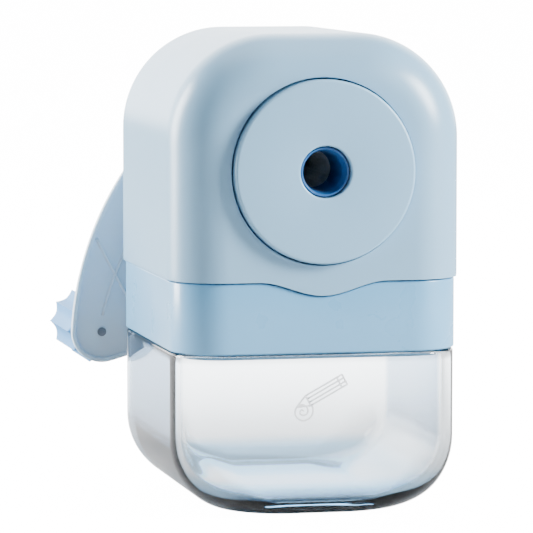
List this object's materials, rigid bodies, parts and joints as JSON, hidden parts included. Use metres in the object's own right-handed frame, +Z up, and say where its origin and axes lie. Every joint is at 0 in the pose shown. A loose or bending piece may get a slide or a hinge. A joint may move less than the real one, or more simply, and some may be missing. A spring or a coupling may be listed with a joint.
{
  "type": "pencil sharpener",
  "caption": "Hand-crank pencil sharpener: arched cover with a raised round plate and pencil hole, band, clear bin, rear crank with lobed knob, helical cutter.",
  "frame": {"origin": "on the table, under the middle of the body, at the centre of the bin's flat underside", "axes": "+Z up; +Y from the pencil hole to the crank; +X to the right seen from the front"},
  "size_m": [0.0787, 0.1157, 0.11],
  "materials": {
    "cover_plastic": "satin pale blue moulded plastic",
    "plate_plastic": "satin pale blue moulded plastic",
    "band_plastic": "satin sky blue moulded plastic",
    "bin_plastic": "clear glossy plastic",
    "guide_plastic": "dark blue moulded plastic",
    "arm_plastic": "satin pale grey-blue moulded plastic",
    "knob_plastic": "satin sky blue moulded plastic",
    "inner_plastic": "white moulded plastic",
    "steel": "plain steel",
    "cutter_steel": "hardened dark steel",
    "pinion_brass": "turned brass"
  },
  "bodies": {
    "bin": {"shavings_bin": "bin_plastic"},
    "head": {"upper_housing": "cover_plastic", "collar": "band_plastic", "guide_disc": "plate_plastic", "pencil_guide": "guide_plastic", "ring_gear": "inner_plastic", "ring_screw_left": "steel", "ring_screw_right": "steel", "rear_bush": "inner_plastic", "housing_screw_front_left": "steel", "housing_screw_back_left": "steel", "housing_screw_front_right": "steel", "housing_screw_back_right": "steel"},
    "crank": {"crank_arm": "arm_plastic", "drive_shaft": "steel", "cutter_carrier": "inner_plastic", "cutter_axle": "steel", "carrier_screw_left": "steel", "carrier_screw_right": "steel", "retaining_clip": "steel", "crank_washer": "steel", "crank_screw": "steel", "crank_cap": "knob_plastic", "knob_pin": "steel"},
    "cutter": {"helical_cutter": "cutter_steel", "cutter_pinion": "pinion_brass"},
    "knob": {"crank_knob": "knob_plastic"}
  },
  "joints": [
    {"name": "head_lift", "type": "slide", "parent": "bin", "child": "head", "axis": [0, 0, 1], "range_m": [0, 0.06]},
    {"name": "crank_turn", "type": "hinge", "parent": "head", "child": "crank", "pos_m": [0, 0.0482, 0.079], "axis": [0, 1, 0], "continuous": true},
    {"name": "cutter_spin", "type": "hinge", "parent": "crank", "child": "cutter", "pos_m": [0, -0.022, 0.08895], "axis": [0, 0.9816, -0.1908], "continuous": true},
    {"name": "knob_spin", "type": "hinge", "parent": "crank", "child": "knob", "pos_m": [-0.0365, 0.055, 0.0349], "axis": [0, 1, 0], "continuous": true}
  ],
  "couplings": [
    {"joint": "cutter_spin", "follows": "crank_turn", "ratio": -3.3333}
  ]
}
